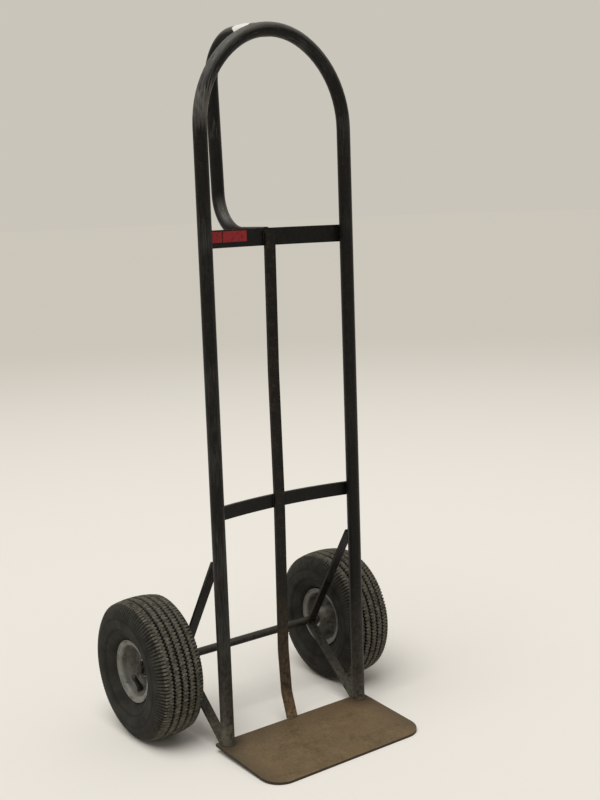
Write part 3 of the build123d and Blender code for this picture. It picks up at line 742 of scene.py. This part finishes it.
for side, sign in (("left", -1), ("right", 1)):
    foot = rail_weld(sign, 0, 354, 0.0, lambda y: plate_height(y) + 0.2 * MM)
    weld(f"{side}_rail_foot_weld", foot, PLATE_BEAD, closed=True, finish=plate_finish)
    for label, low, high in (("upper", upper_low.z, upper_high.z), ("lower", lower_low.z, lower_high.z)):
        x = sign * (RAIL_X - 5.0 * MM)
        y = RAIL_BACK - 0.6 * MM
        weld(f"{side}_{label}_bar_weld", [(x, y, low + 1 * MM), (x, y, high - 1 * MM)], BAR_BEAD)
    top = rail_weld(sign, 50, 130, 0.6 * MM, lambda y: bracket_high.z - 1.5 * MM)
    weld(f"{side}_bracket_top_weld", top, BRACKET_CAP_BEAD)
    for edge in (-1, 1):
        x = sign * RAIL_X + edge * 8.4 * MM
        y = RAIL_BACK - 2.2 * MM
        heel = [(x, y, bracket_high.z - 20 * MM), (x, y, bracket_high.z - 4 * MM)]
        weld(f"{side}_bracket_side_weld_{edge + 1}", heel, BRACKET_SIDE_BEAD)
        z = AXLE_Z + edge * 6.3 * MM
        y = AXLE_Y - AXLE_R + 0.6 * MM
        span = [(sign * RAIL_X - 8.5 * MM, y, z), (sign * RAIL_X + 8.5 * MM, y, z)]
        weld(f"{side}_axle_weld_{edge + 1}", span, AXLE_BEAD)

strap_y = bar_front(STRAP_HALF) - 0.6 * MM
for label, low, high in (("upper", upper_low.z, strap_high.z), ("lower", lower_low.z, lower_high.z)):
    for edge in (-1, 1):
        x = edge * (STRAP_HALF + 0.2 * MM)
        path = [(x, strap_y, low + 2 * MM), (x, strap_y, high - 2 * MM)]
        weld(f"strap_{label}_weld_{edge + 1}", path, STRAP_SIDE_BEAD)
cap = [(-STRAP_HALF, strap_y, strap_high.z + 0.2 * MM), (STRAP_HALF, strap_y, strap_high.z + 0.2 * MM)]
weld("strap_top_weld", cap, STRAP_CAP_BEAD)
foot_y = strap_low.y - 0.4 * MM
foot_z = plate_height(foot_y) + 0.4 * MM
weld("strap_foot_weld", [(-STRAP_HALF, foot_y, foot_z), (STRAP_HALF, foot_y, foot_z)], STRAP_FOOT_BEAD)

# The loop's end is shaped to the arch: each point lies where the arch's round tube meets it. The beads run
# up both sides and leave out the top and the underside, where the two tubes are level
for edge in (-1, 1):
    turn = np.radians(np.linspace(-62, 62, 48))
    ring_x = edge * TUBE_R * np.cos(turn)
    ring_z = TUBE_R * np.sin(turn)
    off_crown = np.hypot(ring_x, ring_z + CROWN_R) - CROWN_R
    saddle = np.sqrt(np.clip(TUBE_R**2 - off_crown**2, 0, None)) + 0.4 * MM
    path = np.stack([ring_x, RAIL_Y + saddle, ARCH_TOP + ring_z + LOOP_SLOPE * saddle], -1)
    weld(f"loop_arch_weld_{edge + 1}", path, LOOP_ARCH_BEAD)
# The bead under and beside the loop's other end, on the back of the upper bar
turn = np.radians(np.linspace(-205, 25, 72))
end_x = TUBE_R * np.cos(turn)
end_z = loop_low.z + TUBE_R + TUBE_R * np.sin(turn)
end_y = np.full_like(turn, upper_high.y + 0.5 * MM)
weld("loop_bar_weld", np.stack([end_x, end_y, end_z], -1), LOOP_BAR_BEAD)


# Label: its edges below the bar's top, its thickness, and the glue under it

FILM_TOP = 2.6 * MM
FILM_BOTTOM = 22.1 * MM
FILM_THICK = 0.25 * MM
FILM_GAP = 0.1 * MM


def film(name, left, right):
    """A thin plain film on the front of the upper bar: a closed skin that follows the bar's bow."""
    low = upper_high.z - FILM_BOTTOM
    high = upper_high.z - FILM_TOP
    count = 24
    x = np.linspace(left, right, count)
    back = bar_front(x) - FILM_GAP
    front = back - FILM_THICK
    corners = [(front, low), (front, high), (back, high), (back, low)]
    points = np.stack([np.stack([x, y, np.full_like(x, z)], -1) for y, z in corners], 1)
    faces = grid_faces(count, 4, False, True)[:, ::-1].tolist()
    faces.append([0, 1, 2, 3])
    faces.append([4 * count - 1, 4 * count - 2, 4 * count - 3, 4 * count - 4])
    piece = make_piece(name, points, faces, label_finish, "frame")
    piece.data.polygons.foreach_set("use_smooth", np.zeros(len(piece.data.polygons), dtype=bool))


film("red_label_small", -134 * MM, -107 * MM)
film("red_label_large", -105 * MM, -49.5 * MM)


# Floor, light and camera

FLOOR_REACH = 60.0
floor_mesh = bpy.data.meshes.new("floor")
floor_corners = [(-FLOOR_REACH, -FLOOR_REACH, 0), (FLOOR_REACH, -FLOOR_REACH, 0)]
floor_corners += [(FLOOR_REACH, FLOOR_REACH, 0), (-FLOOR_REACH, FLOOR_REACH, 0)]
floor_mesh.from_pydata(floor_corners, [], [(0, 1, 2, 3)])
floor = bpy.data.objects.new("floor", floor_mesh)
bpy.context.scene.collection.objects.link(floor)
# Pale near the truck, fading into the background's tone some metres away
floor_material, floor_tree, floor_shader = new_material("pale_floor")
floor_place = add(floor_tree, "TexCoord").outputs["Object"]
floor_distance = add(floor_tree, "VectorMath", {0: floor_place}, operation="LENGTH")
span = {0: floor_distance.outputs["Value"], 1: 0.8, 2: 7.0}
floor_fade = add(floor_tree, "MapRange", span, interpolation_type="SMOOTHSTEP")
floor_colour = blend(floor_tree, floor_fade.outputs[0], paint("#f1ece3"), paint("#cfcac0"))
floor_tree.links.new(floor_colour, floor_shader.inputs["Base Color"])
floor_shader.inputs["Roughness"].default_value = 1.0
floor_shader.inputs["Specular IOR Level"].default_value = 0.0
floor_mesh.materials.append(floor_material)

ROOM_LIGHT = 0.43
LAMP_LIGHT = 1.95
LAMP_SPREAD = math.radians(45)
LAMP_DIRECTION = Vector((0.38, 0.22, -1.0))

world = bpy.data.worlds.new("soft_room")
world.use_nodes = True
room = world.node_tree
room.nodes.clear()
ray = add(room, "LightPath")
seen = {0: ray.outputs["Is Camera Ray"], 1: ray.outputs["Is Glossy Ray"]}
seen = add(room, "Math", seen, operation="MAXIMUM")
seen = add(room, "Math", {0: seen.outputs[0], 1: ray.outputs["Is Transmission Ray"]}, operation="MAXIMUM")
light = add(room, "Background", {"Color": paint("#f6f4ef"), "Strength": ROOM_LIGHT})
backdrop = add(room, "Background", {"Color": paint("#cac5bb"), "Strength": 1.0})
both = add(room, "MixShader", {0: seen.outputs[0], 1: light.outputs[0], 2: backdrop.outputs[0]})
add(room, "OutputWorld", {"Surface": both.outputs[0]})
bpy.context.scene.world = world

sun = bpy.data.lights.new("wide_soft_lamp", "SUN")
sun.energy = LAMP_LIGHT
sun.angle = LAMP_SPREAD
sun_holder = bpy.data.objects.new("wide_soft_lamp", sun)
sun_holder.rotation_euler = LAMP_DIRECTION.to_track_quat("-Z", "Y").to_euler()
bpy.context.scene.collection.objects.link(sun_holder)

# Where the photograph was taken from: place, turn about the vertical, tilt down and roll in degrees
CAMERA_PLACE = (-1.26738, -1.81906, 1.00109)
CAMERA_ANGLES = (-36.55, 9.39, -1.93)
CAMERA_LENS = 53.415
CAMERA_SENSOR = 36.0

camera_data = bpy.data.cameras.new("camera")
camera_data.lens = CAMERA_LENS
camera_data.sensor_width = CAMERA_SENSOR
camera = bpy.data.objects.new("camera", camera_data)
azimuth, pitch, roll = (math.radians(a) for a in CAMERA_ANGLES)
level = math.cos(pitch)
ahead = Vector((-math.sin(azimuth) * level, math.cos(azimuth) * level, -math.sin(pitch)))
right = ahead.cross(Vector((0, 0, 1))).normalized()
over = right.cross(ahead)
right_rolled = math.cos(roll) * right + math.sin(roll) * over
over_rolled = -math.sin(roll) * right + math.cos(roll) * over
turned = Matrix((right_rolled, over_rolled, -ahead)).transposed().to_4x4()
camera.matrix_world = Matrix.Translation(CAMERA_PLACE) @ turned
bpy.context.scene.collection.objects.link(camera)
bpy.context.scene.camera = camera
bpy.context.scene.view_settings.view_transform = "Standard"
